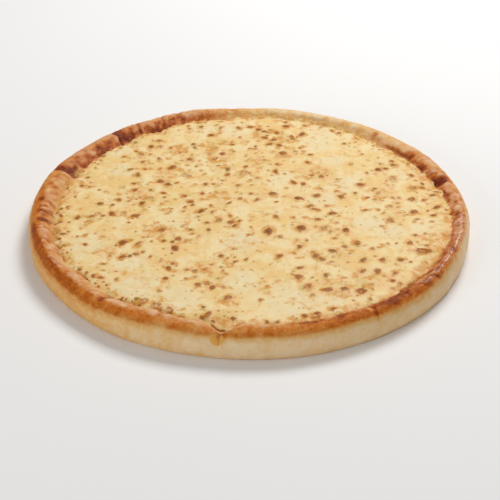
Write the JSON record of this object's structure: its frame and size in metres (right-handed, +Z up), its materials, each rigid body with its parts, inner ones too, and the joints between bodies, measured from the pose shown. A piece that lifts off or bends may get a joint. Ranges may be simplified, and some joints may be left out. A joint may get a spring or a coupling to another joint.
{
  "type": "cheese pizza",
  "caption": "Whole round cheese pizza with a thick bready crust: flat base, bulging pale wall, browned uneven rim and a recessed layer of melted, toasted cheese.",
  "frame": {"origin": "middle of the flat base, on the surface that the pizza rests on", "axes": "+Z up through the pizza's thickness; the front, which faces the viewer, is towards -Y, and +X is to the viewer's right"},
  "size_m": [0.3014, 0.2988, 0.0208],
  "materials": {
    "baked_dough": "baked bread dough, soft and matte on the pale wall, lightly oiled and browned on the rim",
    "melted_cheese": "melted and set mozzarella-style cheese, ivory yellow with toasted brown spots and a soft sheen"
  },
  "bodies": {
    "root": {"crust": "baked_dough", "cheese": "melted_cheese"}
  },
  "joints": []
}
